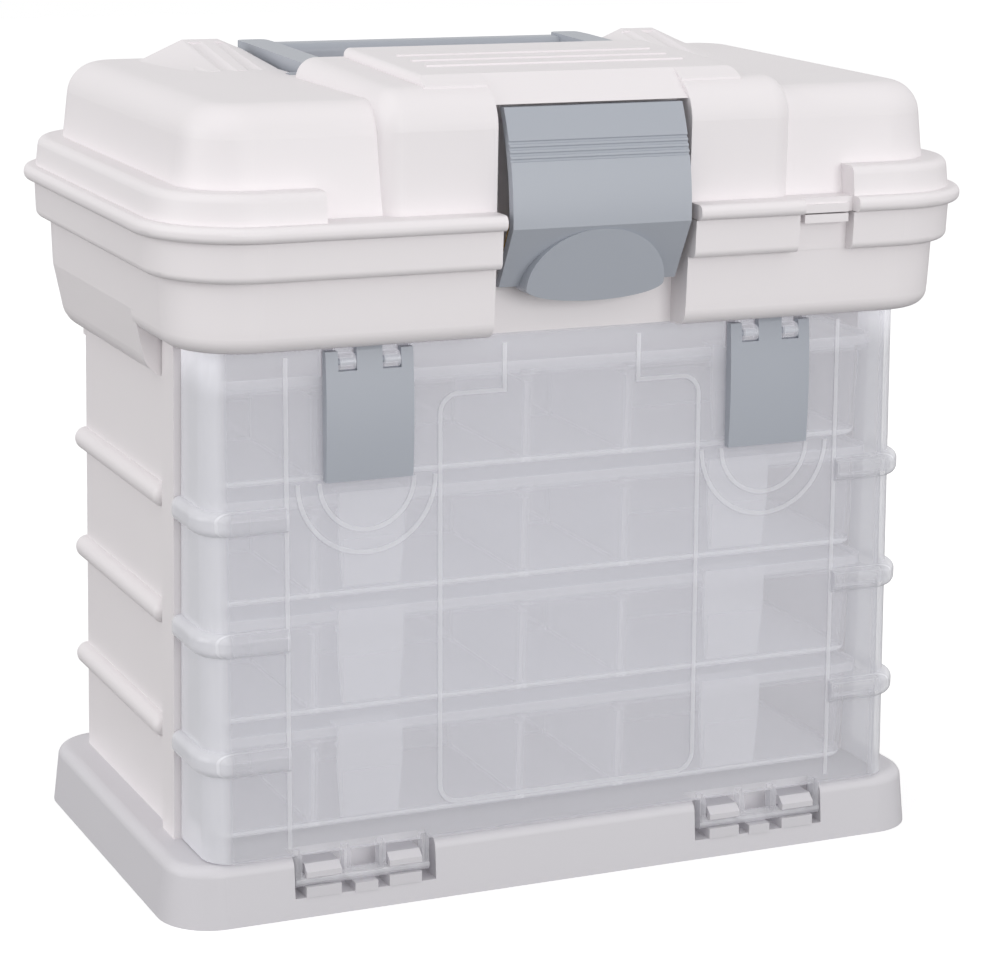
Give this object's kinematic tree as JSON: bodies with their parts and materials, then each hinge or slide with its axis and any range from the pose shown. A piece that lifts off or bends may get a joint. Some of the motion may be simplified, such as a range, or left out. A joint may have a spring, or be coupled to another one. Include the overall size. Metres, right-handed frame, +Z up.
{
  "type": "compartment storage box",
  "caption": "White storage box with a hinged lid and carrying handle over a top tray, and clear organizer boxes behind a clear drop-down front door with grey latches.",
  "frame": {"origin": "on the ground, under the middle of the plinth's footprint", "axes": "+Z up, -Y towards the front door, +X to the right seen from the front"},
  "size_m": [0.2934, 0.1886, 0.2753],
  "materials": {
    "white_plastic": "moulded, satin",
    "clear_plastic": "clear moulded",
    "frosted_plastic": "frosted moulded",
    "grey_plastic": "moulded, satin",
    "brass_wire": "bright wire",
    "steel": "plain"
  },
  "bodies": {
    "rack": {"base_plinth": "white_plastic", "base_screws": "steel", "lower_cabinet": "white_plastic", "upper_tray": "white_plastic", "lid_hinge_pins": "steel"},
    "lid": {"top_lid": "white_plastic"},
    "handle": {"carry_handle": "grey_plastic"},
    "bail": {"latch_bail": "brass_wire"},
    "front_latch": {"main_latch": "grey_plastic"},
    "door": {"clear_door": "clear_plastic"},
    "left_latch": {"left_door_latch": "grey_plastic"},
    "right_latch": {"right_door_latch": "grey_plastic"},
    "organizer_1": {"organizer_box_1": "clear_plastic", "organizer_lid_1": "clear_plastic", "organizer_latches_1": "frosted_plastic", "organizer_dividers_1": "clear_plastic"},
    "organizer_2": {"organizer_box_2": "clear_plastic", "organizer_lid_2": "clear_plastic", "organizer_latches_2": "frosted_plastic", "organizer_dividers_2": "clear_plastic"},
    "organizer_3": {"organizer_box_3": "clear_plastic", "organizer_lid_3": "clear_plastic", "organizer_latches_3": "frosted_plastic", "organizer_dividers_3": "clear_plastic"},
    "organizer_4": {"organizer_box_4": "clear_plastic", "organizer_lid_4": "clear_plastic", "organizer_latches_4": "frosted_plastic", "organizer_dividers_4": "clear_plastic"}
  },
  "joints": [
    {"name": "lid_hinge", "type": "hinge", "parent": "rack", "child": "lid", "pos_m": [0, 0.09175, 0.227], "axis": [-1, 0, 0], "range_deg": [0, 100]},
    {"name": "handle_pivot", "type": "hinge", "parent": "lid", "child": "handle", "pos_m": [0, 0.004, 0.2625], "axis": [1, 0, 0], "range_deg": [0, 90]},
    {"name": "bail_pivot", "type": "hinge", "parent": "rack", "child": "bail", "pos_m": [0, -0.0756, 0.2175], "axis": [1, 0, 0], "range_deg": [0, 62]},
    {"name": "front_latch_pivot", "type": "hinge", "parent": "bail", "child": "front_latch", "pos_m": [0, -0.084, 0.234], "axis": [1, 0, 0], "range_deg": [-62, 0]},
    {"name": "door_hinge", "type": "hinge", "parent": "rack", "child": "door", "pos_m": [0, -0.0734, 0.012], "axis": [1, 0, 0], "range_deg": [0, 90]},
    {"name": "left_latch_hinge", "type": "hinge", "parent": "door", "child": "left_latch", "pos_m": [-0.0724, -0.07149, 0.1836], "axis": [-1, 0, 0], "range_deg": [0, 80]},
    {"name": "right_latch_hinge", "type": "hinge", "parent": "door", "child": "right_latch", "pos_m": [0.0724, -0.07149, 0.1836], "axis": [-1, 0, 0], "range_deg": [0, 80]},
    {"name": "organizer_slide_1", "type": "slide", "parent": "rack", "child": "organizer_1", "axis": [0, -1, 0], "range_m": [0, 0.033]},
    {"name": "organizer_slide_2", "type": "slide", "parent": "rack", "child": "organizer_2", "axis": [0, -1, 0], "range_m": [0, 0.073]},
    {"name": "organizer_slide_3", "type": "slide", "parent": "rack", "child": "organizer_3", "axis": [0, -1, 0], "range_m": [0, 0.105]},
    {"name": "organizer_slide_4", "type": "slide", "parent": "rack", "child": "organizer_4", "axis": [0, -1, 0], "range_m": [0, 0.137]}
  ],
  "couplings": [
    {"joint": "front_latch_pivot", "follows": "bail_pivot", "ratio": -1},
    {"joint": "organizer_slide_1", "follows": "door_hinge", "m_per_rad": 0.0204},
    {"joint": "organizer_slide_2", "follows": "door_hinge", "m_per_rad": 0.0458},
    {"joint": "organizer_slide_3", "follows": "door_hinge", "m_per_rad": 0.0662},
    {"joint": "organizer_slide_4", "follows": "door_hinge", "m_per_rad": 0.0866}
  ]
}
